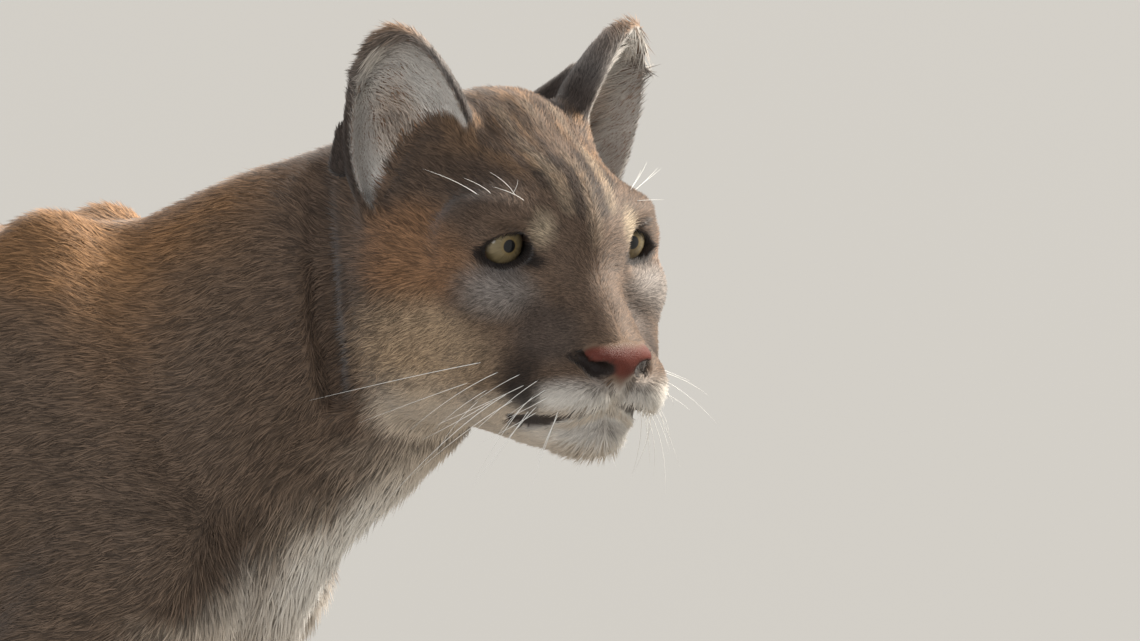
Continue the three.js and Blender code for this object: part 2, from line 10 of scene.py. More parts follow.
import bpy
import numpy as np
from mathutils import Matrix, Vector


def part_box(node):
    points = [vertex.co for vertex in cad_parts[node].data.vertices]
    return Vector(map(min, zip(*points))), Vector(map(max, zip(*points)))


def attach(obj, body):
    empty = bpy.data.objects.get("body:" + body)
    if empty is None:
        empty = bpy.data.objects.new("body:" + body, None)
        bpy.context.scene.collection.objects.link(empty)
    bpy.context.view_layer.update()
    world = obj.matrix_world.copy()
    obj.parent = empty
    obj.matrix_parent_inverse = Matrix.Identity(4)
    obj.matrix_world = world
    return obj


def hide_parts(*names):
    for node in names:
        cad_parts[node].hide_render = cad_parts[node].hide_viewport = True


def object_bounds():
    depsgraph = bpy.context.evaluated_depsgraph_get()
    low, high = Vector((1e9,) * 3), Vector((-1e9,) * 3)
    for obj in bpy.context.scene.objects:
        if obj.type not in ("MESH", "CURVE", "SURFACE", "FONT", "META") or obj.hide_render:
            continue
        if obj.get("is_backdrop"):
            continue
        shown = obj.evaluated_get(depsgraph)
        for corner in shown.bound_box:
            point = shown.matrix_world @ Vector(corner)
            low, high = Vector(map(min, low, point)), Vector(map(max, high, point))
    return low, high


F = np.float32

# Pose of the head and the point midway between the eyes
HEAD_YAW = -39.0
HEAD_PITCH = -9.0
EYES_AT = (300.0, -60.0, 665.0)
# Left eyeball in the head's frame
EYE_AT = (-2.5, 38.5, 0.5)
SOCKET_RADIUS = 15.5
EYE_RADIUS = 15.2
LID_THICKNESS = 2.8
IRIS_RADIUS = 11.6
PUPIL_RADIUS = 3.4
# Ear shell in the head's frame
EAR_AT = (-61, 60, 47)
EAR_TURN = (28, -12, -14)
# The neck is deeper than it is wide
NECK_NARROWING = 1.32
# Steps of the paws from a square stance
STEP_FORE_LEFT = -26
STEP_FORE_RIGHT = 22
STEP_HIND_LEFT = 40
STEP_HIND_RIGHT = -24
# Photo's camera: degrees, millimetres for each pixel of its 1140, and where the eyes' middle lies
CAMERA_AZIMUTH = 18.0
CAMERA_ELEVATION = 3.0
PIXEL = 0.53
PHOTO_SIZE = (1140, 641)
EYES_PIXEL = (558.0, 241.0)
CAMERA_DISTANCE = 6000.0
SENSOR = 36.0
# Coat: how many tufts, and the most in one piece
TUFTS = 330000
PIECE_TUFTS = 48000
UV_PATCH = 0.003
# Tufts with a corner lower than this over the floor are left out
FLOOR_CLEARANCE = 0.3
SEED = 11
# Points round the eyeball, and the floor's radius in metres
EYE_SEGMENTS = 120
FLOOR_RADIUS = 80.0
FLOOR_SIDES = 96
FLOOR_COLOUR = (0.25, 0.247, 0.24, 1)
# Light, in Blender's units and metres
LIT_POINT = (0.35, 0, 0.5)
SUN_ENERGY = 9.0
SUN_SPREAD = 14
WORLD_STRENGTH = 0.6


def turned(yaw=0.0, pitch=0.0, roll=0.0):
    """A turn whose columns are the local axes; pitch lifts the nose."""
    y, p, r = np.radians([yaw, pitch, roll])
    about_z = np.array([[np.cos(y), -np.sin(y), 0], [np.sin(y), np.cos(y), 0], [0, 0, 1]])
    about_y = np.array([[np.cos(p), 0, -np.sin(p)], [0, 1, 0], [np.sin(p), 0, np.cos(p)]])
    about_x = np.array([[1, 0, 0], [0, np.cos(r), -np.sin(r)], [0, np.sin(r), np.cos(r)]])
    return (about_z @ about_y @ about_x).astype(F)


HEAD_TURN = turned(HEAD_YAW, HEAD_PITCH)
EAR_FRAME = turned(EAR_TURN[0]) @ turned(0, EAR_TURN[1]) @ turned(0, 0, EAR_TURN[2])


def local(p, centre, turn=None):
    q = p - np.array(centre, F)
    return q if turn is None else q @ turn


def ball(centre, size, turn=None):
    """Near distance to an ellipsoid."""
    m = None if turn is None else turned(*turn)
    r = np.array(size, F)

    def form(p):
        q = local(p, centre, m) / r
        near = np.sqrt((q * q).sum(1))
        slope = np.sqrt(((q / r) ** 2).sum(1))
        return near * (near - 1) / np.maximum(slope, 1e-6)
    return form


def limb(a, b, ra, rb):
    """Near distance to a round cone."""
    a = np.array(a, F)
    d = np.array(b, F) - a

    def form(p):
        q = p - a
        t = np.clip(q @ d / (d @ d), 0, 1)
        return np.sqrt(((q - t[:, None] * d) ** 2).sum(1)) - (ra + (rb - ra) * t)
    return form


def smooth_less(a, b, k):
    h = np.maximum(k - np.abs(a - b), 0) / k
    return np.minimum(a, b) - h * h * k * 0.25


def join(first, *rest):
    """Joins forms in turn, each over its own blend width."""
    def form(p):
        d = first(p)
        for k, other in rest:
            d = smooth_less(d, other(p), k)
        return d
    return form


def carve(first, *rest):
    """Hollows forms out of the first, each over its own blend width."""
    def form(p):
        d = first(p)
        for k, other in rest:
            d = -smooth_less(-d, other(p), k)
        return d
    return form


def tube(path, radii):
    """A run of round cones."""
    parts = [limb(*pair) for pair in zip(path[:-1], path[1:], radii[:-1], radii[1:])]

    def form(p):
        d = parts[0](p)
        for part in parts[1:]:
            d = np.minimum(d, part(p))
        return d
    return form


def folded(p):
    """Points with both halves laid onto the left."""
    return p * np.array([1, 0, 1], F) + np.abs(p) * np.array([0, 1, 0], F)


def both_sides(form):
    return lambda p: form(folded(p))


def bounded(form, low, high, margin=48.0):
    """Works a form out only near its box; further off the distance to the box stands in."""
    low = np.array(low, F)
    high = np.array(high, F)

    def near_form(p):
        d = np.sqrt((np.maximum(np.maximum(low - p, p - high), 0) ** 2).sum(1))
        near = d < margin
        if near.any():
            d[near] = form(p[near])
        return d
    return near_form


# Head, left half, in the head frame
skull = join(
    ball((-63, 0, 8), (62, 60, 64)),
    (20, ball((-14, 0, 2), (51, 46, 46))),
    (24, ball((-60, 50, -34), (52, 33, 46))),
    (22, ball((-66, 42, -70), (46, 30, 36))),
    (12, limb((14, 1.5, -14.5), (57, 2.5, -46.5), 22, 14.5)),
    (14, ball((36, 0, -60), (34, 34, 27))),
    (18, ball((3, 45, -24), (27, 20, 19), (-24, -16, 0))),
    (18, ball((0, 32, -60), (40, 26, 32))),
    (14, ball((-2, 38, 15), (23, 18, 11), (-14, 6, 6))),
    (12, ball((-11, 48, 1), (19, 17, 15))),
)
lid_opening = ball((12, 37.5, -1.4), (15, 18.5, 8.6), (-18, 0, -17))
lids = carve(ball(EYE_AT, (SOCKET_RADIUS + LID_THICKNESS,) * 3), (2.5, lid_opening))
nose_pad = join(ball((65, 0, -49.5), (11, 21, 9.5)), (4, limb((67, 0, -54), (66, 0, -64), 8, 4)))
NOSTRIL = [(80, 9, -56), (67, 15, -54), (60, 22.5, -48.5)]
MOUTH = [(68, 0, -78), (68.5, 10, -78), (62, 19.5, -80), (54, 26.5, -83.5), (42, 30.5, -88),
         (30, 31.5, -90.5), (22, 35, -90.5)]
mouth_groove = tube(MOUTH, [3.4, 3.2, 3, 2.8, 2.6, 2.3, 1.5])
nostril_groove = tube(NOSTRIL, [4.2, 4.6, 2.8])
face = join(
    carve(skull, (9, ball((12, 38, -1), (11, 16, 10), (-22, 0, -8)))),
    (6, lids),
    (5, ball((43, 20, -67), (33, 22.5, 21), (-16, 0, 0))),
    (18, limb((-50, 28, -80), (32, 12, -90), 24, 14)),
    (18, limb((-50, 0, -78), (36, 0, -86), 30, 16)),
    (4, ball((40, 0, -91), (23, 23, 17))),
    (3, nose_pad),
)
head = both_sides(carve(
    face,
    (1.5, nostril_groove),
    (3, limb((77, 0, -67), (68, 0, -80), 2.2, 3.0)),
    (3, mouth_groove),
))
ear_outer = ball((0, 0, 0), (26, 35, 62))
ear_inner = ball((10, 0, 3), (26, 30, 56))


def ear_local(p):
    """Points in the ear's own frame, drawn in towards its root."""
    q = local(p, EAR_AT, EAR_FRAME).copy()
    q[:, 1] /= 1 + np.clip(-q[:, 2], -60, 40) * 0.0035
    return q


def ear_shell(p):
    q = ear_local(p)
    shell = -smooth_less(-ear_outer(q), ear_inner(q), 3)
    return -smooth_less(-shell, -(q[:, 0] - 8 + 0.12 * local(p, EAR_AT, EAR_FRAME)[:, 2]), 5)


ears = both_sides(join(
    ear_shell,
    (12, limb((-92, 34, 44), (-84, 57, 70), 13, 7)),
    (5, limb((-88, 84, 26), (-84, 86, 44), 6, 4.5)),
))

trunk = both_sides(join(
    ball((-120, 0, 505), (225, 108, 140)),
    (50, ball((33, 0, 505), (100, 88, 122))),
    (60, ball((-370, 0, 530), (200, 92, 108))),
    (60, ball((-590, 0, 560), (125, 95, 112))),
    (40, limb((-40, 0, 611), (-560, 0, 606), 56, 62)),
    (36, limb((6, 44, 649), (66, 76, 500), 30, 46)),
    (30, ball((-10, 72, 560), (72, 32, 92), (0, 20, 0))),
    (50, ball((-600, 66, 500), (105, 48, 120), (0, -12, 0))),
))
round_neck = join(
    limb((40, 0, 556), (150, -4, 612), 100, 86),
    (20, limb((150, -4, 612), (222, -14, 648), 86, 66)),
    (30, limb((70, 0, 516), (174, -4, 594), 80, 54)),
    (24, limb((20, 0, 592), (112, -4, 626), 68, 63)),
    (20, limb((112, -4, 626), (190, -16, 658), 63, 64)),
)


def neck(p):
    return round_neck(p * np.array([1, NECK_NARROWING, 1], F))


def paw(x, y, s):
    def toe(off, ahead):
        return ball((x + ahead * s, y + off * s, 18 * s), (27 * s, 12.5 * s, 22 * s), (off * 0.4, -8, 0))
    return join(
        ball((x + 4 * s, y, 27 * s), (48 * s, 39 * s, 31 * s)),
        (14, ball((x - 14 * s, y, 18 * s), (30 * s, 31 * s, 24 * s))),
        (7, toe(-31, 24)),
        (4, toe(-11, 38)),
        (3, toe(11, 38)),
        (4, toe(31, 24)),
    )


def on_side(form, side):
    return lambda p: form(p * np.array([1, side, 1], F))


def fore_leg(side, step):
    leg = join(
        limb((70, 82, 478), (-4, 92, 378), 52, 44),
        (16, limb((0, 92, 374), (14 + step, 88, 250), 45, 37)),
        (8, limb((14 + step, 88, 250), (24 + step, 86, 140), 37, 32)),
        (8, limb((24 + step, 86, 140), (44 + step, 87, 54), 32, 31)),
        (26, paw(58 + step, 88, 1)),
    )
    return on_side(bounded(leg, (-60, 28, -6), (155, 140, 535)), side)


def hind_leg(side, step):
    leg = join(
        limb((-612, 68, 520), (-528, 90, 408), 90, 62),
        (26, limb((-528, 90, 404), (-640 + step, 90, 285), 60, 38)),
        (34, limb((-632, 74, 482), (-632 + step, 90, 322), 66, 36)),
        (10, limb((-640 + step, 90, 285), (-694 + step, 87, 206), 38, 29)),
        (16, limb((-706 + step, 87, 226), (-700 + step, 87, 192), 19, 26)),
        (10, limb((-698 + step, 87, 200), (-670 + step, 87, 54), 29, 30)),
        (24, paw(-654 + step, 88, 0.95)),
    )
    return on_side(bounded(leg, (-755, -25, -6), (-460, 160, 612)), side)


TAIL_POINTS = [(-650, 0, 622), (-726, 0, 588), (-800, 4, 480), (-852, 12, 350), (-912, 26, 228),
               (-1000, 42, 150), (-1096, 54, 138), (-1172, 60, 176)]
TAIL_LENGTHS = 24


def centripetal(points, steps):
    """A smooth path through points, at even steps of its parameter."""
    pts = np.array(points, float)
    pts = np.vstack([2 * pts[0] - pts[1], pts, 2 * pts[-1] - pts[-2]])
    out = []
    for i in range(steps + 1):
        t = i / steps * (len(points) - 1)
        k = min(int(t), len(points) - 2)
        a, b, c, d = pts[k:k + 4]
        w = t - k
        t1 = np.linalg.norm(b - a) ** 0.5
        t2 = t1 + np.linalg.norm(c - b) ** 0.5
        t3 = t2 + np.linalg.norm(d - c) ** 0.5
        u = t1 + (t2 - t1) * w
        ab = a + (b - a) * u / t1
        bc = b + (c - b) * (u - t1) / (t2 - t1)
        cd = c + (d - c) * (u - t2) / (t3 - t2)
        abc = ab + (bc - ab) * u / t2
        bcd = bc + (cd - bc) * (u - t1) / (t3 - t1)
        out.append(abc + (bcd - abc) * (u - t1) / (t2 - t1))
    return np.array(out)


TAIL_PATH = centripetal(TAIL_POINTS, TAIL_LENGTHS)
tail_t = np.linspace(0, 1, TAIL_LENGTHS + 1)
TAIL_RADII = 27 + 19 * np.maximum(0, 1 - tail_t * 4.5) ** 1.5 + 5 * (1 - tail_t) - 4 * tail_t ** 8
tail = bounded(tube(list(TAIL_PATH), list(TAIL_RADII)), (-1205, -45, 105), (-600, 90, 672))

body = join(
    trunk,
    (34, bounded(neck, (-60, -106, 425), (300, 106, 735))),
    (22, fore_leg(1, STEP_FORE_LEFT)),
    (22, fore_leg(-1, STEP_FORE_RIGHT)),
    (30, hind_leg(1, STEP_HIND_LEFT)),
    (30, hind_leg(-1, STEP_HIND_RIGHT)),
    (30, tail),
)
# The fold where the cheek ends against the neck
cheek_fold = both_sides(tube([(-117, 77, 16), (-98, 85, -22), (-86, 85, -62), (-82, 77, -98)], [6, 8, 8, 6]))
fold_near = bounded(cheek_fold, (-125, -95, -106), (-74, 95, 24))
head_near = bounded(head, (-130, -95, -115), (82, 95, 72))
ears_near = bounded(ears, (-105, -100, -20), (-10, 100, 115))


def fade(v, low, high):
    t = np.clip((v - low) / (high - low), 0, 1)
    return t * t * (3 - 2 * t)


def to_head(p):
    """Head-frame points, with both halves folded onto the left."""
    q = local(p, EYES_AT, HEAD_TURN)
    return q, folded(q)


def head_part(q):
    """How much a point belongs to the head, and how much to its face."""
    off = q - np.array((-45, 0, -20), F)
    part = 1 - fade(np.sqrt((off * off).sum(1)), 105, 165)
    return part, part * fade(q[:, 0] - 0.25 * q[:, 2], -45, 5)


def coat_depth(p, q, ear):
    """How far the skin lies under the tips of the coat."""
    part, front = head_part(q)
    depth = 4.6 + (2.6 - 4.6) * part + (0.9 - 2.6) * front
    depth = depth + (0.5 - depth) * (1 - fade(ear, 0, 8))
    depth = depth * (0.35 + 0.65 * fade(p[:, 2], 5, 90))
    near_nose = 1 - fade(nose_pad(folded(q)), 0, 4)
    return depth * (1 - near_nose) * fade(p[:, 2], -2, 12)


def skin_field(p):
    q = local(p, EYES_AT, HEAD_TURN)
    ear = ears_near(q)
    d = smooth_less(body(p), head_near(q), 16)
    d = -smooth_less(-d, fold_near(q), 9)
    d = smooth_less(d, ear, 8)
    return -smooth_less(-d, p[:, 2], 3) + coat_depth(p, q, ear)


def axis(start, *runs):
    """A graded axis: pairs of an end value and the step up to it."""
    stops = [float(start)]
    for end, step in runs:
        n = max(1, round((end - stops[-1]) / step))
        stops += list(np.linspace(stops[-1], end, n + 1)[1:])
    return np.array(stops, F)


def sampled(field, xs, ys, zs, coarse=4):
    """Field values on a grid, worked out in full only in the blocks near the surface."""
    shape = (len(xs), len(ys), len(zs))
    values = np.full(shape, 1e3, F)
    stops = [np.unique(np.r_[np.arange(0, n, coarse), n - 1]) for n in shape]
    grid = np.meshgrid(xs[stops[0]], ys[stops[1]], zs[stops[2]], indexing="ij")
    rough = field(np.stack([g.ravel() for g in grid], 1).astype(F)).reshape(grid[0].shape)
    for i in range(len(stops[0]) - 1):
        i0, i1 = stops[0][i], stops[0][i + 1]
        ends = [rough[i + a, b:rough.shape[1] - 1 + b, c:rough.shape[2] - 1 + c]
                for a in (0, 1) for b in (0, 1) for c in (0, 1)]
        low = np.minimum.reduce(ends)
        high = np.maximum.reduce(ends)
        least = np.minimum.reduce([np.abs(e) for e in ends])
        dy = np.diff(ys[stops[1]])[:, None]
        dz = np.diff(zs[stops[2]])[None, :]
        reach = np.sqrt((xs[i1] - xs[i0]) ** 2 + dy * dy + dz * dz)
        near = (least < reach) | ((low < 0) & (high > 0))
        sign = np.where(low < 0, -1e3, 1e3)
        sign = np.repeat(np.repeat(sign, np.diff(stops[1]), 0), np.diff(stops[2]), 1)
        slab = values[i0:i1 + 1, :-1, :-1]
        slab[:] = np.where(np.abs(slab) < 999, slab, sign[None])
        found = []
        for j, k in np.argwhere(near):
            block = np.meshgrid(np.arange(i0, i1 + 1), np.arange(stops[1][j], stops[1][j + 1] + 1),
                                np.arange(stops[2][k], stops[2][k + 1] + 1), indexing="ij")
            found.append(((block[0] * shape[1] + block[1]) * shape[2] + block[2]).ravel())
        if found:
            a, b, c = np.unravel_index(np.unique(np.concatenate(found)), shape)
            values[a, b, c] = field(np.stack([xs[a], ys[b], zs[c]], 1).astype(F))
    return values


def surface(values, xs, ys, zs):
    """Surface nets: one vertex in each cell that the surface crosses, one quad for each grid edge."""
    inside = values < 0
    shape = values.shape
    count = sum(inside[a:shape[0] - 1 + a, b:shape[1] - 1 + b, c:shape[2] - 1 + c].astype(np.int8)
                for a in (0, 1) for b in (0, 1) for c in (0, 1))
    mixed = (count > 0) & (count < 8)
    cells = np.argwhere(mixed)
    index = np.full(mixed.shape, -1, np.int64)
    index[mixed] = np.arange(len(cells))
    total = np.zeros((len(cells), 3))
    hits = np.zeros(len(cells))
    for along in range(3):
        others = [a for a in range(3) if a != along]
        for u in (0, 1):
            for v in (0, 1):
                start = cells.copy()
                start[:, others[0]] += u
                start[:, others[1]] += v
                stop = start.copy()
                stop[:, along] += 1
                f0 = values[tuple(start.T)]
                f1 = values[tuple(stop.T)]
                cross = (f0 < 0) != (f1 < 0)
                t = np.where(cross, f0 / np.where(cross, f0 - f1, 1), 0)[:, None]
                p0 = np.stack([xs[start[:, 0]], ys[start[:, 1]], zs[start[:, 2]]], 1)
                p1 = np.stack([xs[stop[:, 0]], ys[stop[:, 1]], zs[stop[:, 2]]], 1)
                total += np.where(cross[:, None], p0 + t * (p1 - p0), 0)
                hits += cross
    quads = []
    for along in range(3):
        others = [a for a in range(3) if a != along]
        first = inside.take(range(shape[along] - 1), along)
        second = inside.take(range(1, shape[along]), along)
        edges = np.argwhere(first != second)
        was_inside = first[tuple(edges.T)]
        ring = []
        for u, v in ((-1, -1), (0, -1), (0, 0), (-1, 0)):
            cell = edges.copy()
            cell[:, others[0]] += u
            cell[:, others[1]] += v
            ring.append(index[tuple(cell.T)])
        ring = np.stack(ring, 1)
        outward = was_inside if along != 1 else ~was_inside
        ring[~outward] = ring[~outward][:, ::-1]
        quads.append(ring)
    return total / hits[:, None], np.concatenate(quads)


def slope(field, p, step=0.4):
    out = np.empty_like(p)
    for a in range(3):
        d = np.zeros(3, F)
        d[a] = step
        out[:, a] = (field(p + d) - field(p - d)) / (2 * step)
    return out


def settled(field, points, rounds=2, most=2.0):
    """Moves points onto the surface."""
    p = points.astype(F)
    for _ in range(rounds):
        g = slope(field, p)
        move = -(field(p) / np.maximum((g * g).sum(1), 0.05))[:, None] * g
        length = np.sqrt((move * move).sum(1)) + 1e-9
        p = p + move * np.minimum(1, most / length)[:, None]
    return p


def unit(v):
    return v / np.maximum(np.sqrt((v * v).sum(-1, keepdims=True)), 1e-9)


def noise(p, size, seed=0):
    """Smooth value noise from 0 to 1."""
    s = p / np.array(size, F)
    cell = np.floor(s).astype(np.int64)
    t = s - cell
    t = t * t * (3 - 2 * t)
    total = np.zeros(len(p))
    for a in (0, 1):
        for b in (0, 1):
            for c in (0, 1):
                x, y, z = (cell + (a, b, c)).T
                h = (x * 73856093) ^ (y * 19349663) ^ (z * 83492791) ^ (seed * 668265263)
                h = (h ^ (h >> 13)) * 1274126177
                value = ((h ^ (h >> 16)) & 0xFFFF) / 65535
                weight = (t[:, 0] if a else 1 - t[:, 0]) * (t[:, 1] if b else 1 - t[:, 1])
                total += value * weight * (t[:, 2] if c else 1 - t[:, 2])
    return total


def srgb(r, g, b):
    c = np.array([r, g, b]) / 255
    return np.where(c <= 0.04045, c / 12.92, ((c + 0.055) / 1.055) ** 2.4)


TAUPE = srgb(108, 90, 75)
# Painted sunlight: the lighter gold of fur on tops that face the light
SUNLIT_GOLD = srgb(156, 116, 78)
CREAM = srgb(214, 198, 178)
WHITE = srgb(236, 231, 222)
DARK = srgb(36, 28, 24)
FOREHEAD = srgb(104, 85, 70)
TAN = srgb(150, 117, 86)
CHEEK = srgb(150, 110, 76)
BUFF = srgb(186, 160, 130)
PALE = srgb(160, 155, 150)
SPOT = srgb(196, 178, 150)
NOSE = srgb(90, 42, 32)
LIP = srgb(84, 56, 48)
EAR_BACK = srgb(74, 64, 58)
EAR_SKIN = srgb(150, 122, 104)
EAR_HAIR = srgb(208, 202, 194)
MUZZLE_SIDE = srgb(88, 76, 68)
FRINGE = srgb(120, 94, 84)
SOLE = srgb(60, 46, 42)
IRIS = srgb(112, 99, 72)
IRIS_RIM = srgb(58, 48, 30)
PUPIL_RIM = srgb(120, 100, 60)
PUPIL = np.array([0.004, 0.004, 0.005])
EYE_WHITE = srgb(70, 48, 38)


def spot(q, centre, size, soft=0.35, turn=None):
    """1 in an ellipsoid, fading out over its edge."""
    k = local(q, centre, None if turn is None else turned(*turn)) / np.array(size, F)
    return 1 - fade(np.sqrt((k * k).sum(1)), 1 - soft, 1 + soft)


def stripe(q, path, width):
    return 1 - fade(tube(path, [0.0] * len(path))(q), width * 0.5, width * 1.5)


def mixed(colour, other, weight):
    return colour + (other - colour) * weight[:, None]


def ear_parts(q, f):
    """How much a point belongs to the ear, and how much to the ear's cup."""
    ear = 1 - fade(ears(q) - np.minimum(head(q), 12), -3, 2)
    return ear, 1 - fade(ear_inner(ear_local(f)), 0.6, 2.4)


def coat_colour(p, n, hair=False):
    """The markings, with painted sunlight on the tops, a painted highlight on the nose bridge and painted
    shade in the cheek folds, inner eye corners and ear bases, at points of the skin with outward normals, in
    linear colour.
    """
    q, f = to_head(p)
    part, front = head_part(q)
    side = np.abs(p[:, 1])
    grain = noise(p, (26, 12, 12), 3)
    c = np.tile(TAUPE, (len(p), 1))
    # Painted sunlight: a lighter gold on fur that faces up along the back and on the shoulder tops
    c = mixed(c, SUNLIT_GOLD, fade(n[:, 2], 0.1, 0.85) * fade(p[:, 2], 520, 640) * (0.55 + 0.45 * grain))
    c = mixed(c, SUNLIT_GOLD, 0.8 * spot(p, (5, 0, 660), (80, 85, 45)))
    under = fade(-n[:, 2], 0.15, 0.75) * fade(p[:, 2], 300, 380) * (1 - fade(p[:, 2], 500, 540))
    under *= fade(p[:, 0], -560, -500)
    c = mixed(c, CREAM, under * 0.85)
    throat = fade(n @ np.array([0.78, 0.1, -0.62], F), 0.62, 0.94) * fade(p[:, 0], 60, 130)
    bib = fade(p[:, 2], 400, 500) * (1 - 0.6 * fade(side, 25, 85))
    c = mixed(c, CREAM, throat * 0.5 * fade(p[:, 2], 330, 430))
    c = mixed(c, WHITE, throat * 0.92 * bib)
    inner = fade(-n[:, 1] * np.sign(p[:, 1]), 0.2, 0.8) * (1 - fade(p[:, 2], 380, 450))
    inner *= fade(p[:, 0], -770, -735)
    c = mixed(c, BUFF, inner * 0.5)
    c = mixed(c, TAN, 0.32 * (1 - fade(p[:, 2], 60, 330)))
    tip = 1 - fade(p[:, 0] + 20 * (grain - 0.5), -1135, -1085)
    c = mixed(c, DARK, tip * 0.92)
    # Head
    h = np.tile(FOREHEAD, (len(p), 1))
    streak = noise(f, (34, 4.5, 7), 7)
    h = mixed(h, TAN, 0.7 * spot(f, (-34, 0, 56), (62, 46, 34)) * fade(streak, 0.4, 0.7))
    h = mixed(h, CHEEK, 0.75 * spot(f, (-34, 60, -14), (40, 30, 26)))
    h = mixed(h, BUFF, 0.85 * spot(f, (-30, 48, -62), (52, 40, 34)))
    h = mixed(h, PALE, 0.6 * spot(f, (14, 44, -23), (19, 18, 12), 0.6))
    h = mixed(h, MUZZLE_SIDE, 0.75 * spot(f, (38, 26, -42), (24, 16, 18)))
    h = mixed(h, SPOT, 0.6 * spot(f, (25, 25, 11), (6, 6, 8), 0.8))
    h = mixed(h, DARK, 0.3 * spot(f, (-22, 46, 30), (34, 22, 18), 0.7))
    h = mixed(h, SPOT, 0.22 * stripe(f, [(-40, 17, 66), (-12, 18, 52), (12, 14, 38), (28, 12, 22)], 4.5))
    # Painted highlight: a pale line along the top of the nose bridge
    h = mixed(h, SPOT, 0.12 * stripe(f, [(-40, 0, 67), (0, 0, 50), (22, 0, 36), (40, 0, 4)], 3.5))
    for path, width, amount in (
            ([(-44, 8, 68), (-24, 8, 58), (-2, 9, 48), (18, 5, 38), (32, 6, 20)], 3.6, 0.85),
            ([(-52, 26, 60), (-24, 24, 54), (2, 21, 44), (18, 19, 32)], 3.2, 0.75),
            ([(3, 52, 4), (-8, 57, 8)], 2.2, 0.8)):
        h = mixed(h, DARK, amount * stripe(f, path, width) * (0.55 + 0.45 * streak))
    h = mixed(h, WHITE, spot(f, (58, 17, -74), (22, 23, 14)))
    h = mixed(h, WHITE, spot(f, (36, 0, -101), (36, 32, 18)))
    h = mixed(h, CREAM, 0.85 * fade(-n[:, 2], 0.35, 0.8) * (1 - fade(f[:, 2], -78, -66)))
    h = mixed(h, DARK, 0.95 * spot(f, (41, 42, -67), (13, 13, 18), 0.5) * (0.7 + 0.3 * streak))
    below = [(x, y, z - 6) for x, y, z in MOUTH]
    h = mixed(h, FRINGE, 0.6 * stripe(f, below, 3.6))
    h = mixed(h, DARK, 0.95 * (1 - fade(mouth_groove(f), 1.8, 2.9)))
    # Dark wedge at the inner eye corner, partly its own colour and partly painted shade in the corner
    h = mixed(h, DARK, 0.9 * spot(f, (23, 27, -5.5), (8, 6, 4.5), 0.5))
    # Painted shade along the fold where the cheek meets the neck
    h = mixed(h, DARK, 0.4 * (1 - fade(cheek_fold(f), -2, 7)))
    near_eye = 1 - fade(np.sqrt((local(f, EYE_AT) ** 2).sum(1)), 20, 25)
    h = mixed(h, DARK, near_eye * (1 - fade(np.abs(lid_opening(f)), 1.2, 2.6)) * 0.96)
    e = ear_local(f)
    ear, cup = ear_parts(q, f)
    back = mixed(np.tile(EAR_BACK, (len(p), 1)), PALE, fade(e[:, 2], 10, 52) * 0.65)
    h = mixed(h, back, ear * (1 - cup) * fade(e[:, 2], -44, -22))
    inside = mixed(np.tile(EAR_HAIR if hair else EAR_SKIN, (len(p), 1)), TAN,
                   0.5 * spot(e, (-10, 4, 0), (30, 14, 24), 0.6))
    # Painted shade: the base of the ear's cup darkened
    inside = mixed(inside, DARK, 0.7 * (1 - fade(e[:, 2], -44, -18)))
    h = mixed(h, inside, ear * cup)
    c = mixed(c, h, part)
    c = mixed(c, NOSE, (1 - fade(nose_pad(f), 0.0, 1.0)) * (part > 0.5))
    c = mixed(c, DARK, (1 - fade(nostril_groove(f), 0.2, 2.0)) * (part > 0.5))
    c = mixed(c, SOLE, fade(-n[:, 2], 0.6, 0.9) * (1 - fade(p[:, 2], 2, 8)))
    return np.clip(c * (0.92 + 0.16 * noise(p, (7, 5, 5), 9))[:, None], 0, 1)


def mesh_object(name, points, faces, normals=None, colours=None, uv=None, smooth=True):
    """An object from arrays: points in the animal's millimetres, faces of one size."""
    mesh = bpy.data.meshes.new(name)
    sides = faces.shape[1]
    mesh.vertices.add(len(points))
    mesh.vertices.foreach_set("co", ((points + SHIFT) * 0.001).astype(F).ravel())
    mesh.loops.add(faces.size)
    mesh.loops.foreach_set("vertex_index", faces.astype(np.int32).ravel())
    mesh.polygons.add(len(faces))
    mesh.polygons.foreach_set("loop_start", np.arange(0, faces.size, sides, dtype=np.int32))
    mesh.polygons.foreach_set("use_smooth", np.full(len(faces), smooth))
    if colours is not None:
        attribute = mesh.color_attributes.new("coat", "FLOAT_COLOR", "POINT")
        rgba = np.ones((len(points), 4), F)
        rgba[:, :3] = colours
        attribute.data.foreach_set("color", rgba.ravel())
    if uv is not None:
        layer = mesh.uv_layers.new(name="OFBake")
        layer.data.foreach_set("uv", uv[faces.ravel()].astype(F).ravel())
    mesh.update()
    if normals is not None:
        mesh.normals_split_custom_set_from_vertices(normals.astype(F))
    piece = bpy.data.objects.new(name, mesh)
    bpy.context.scene.collection.objects.link(piece)
    return piece


def material(name, **sockets):
    made = bpy.data.materials.new(name)
    made.use_nodes = True
    shader = made.node_tree.nodes["Principled BSDF"]
    for socket, value in sockets.items():
        shader.inputs[socket.replace("_", " ")].default_value = value
    return made, made.node_tree.nodes, made.node_tree.links, shader


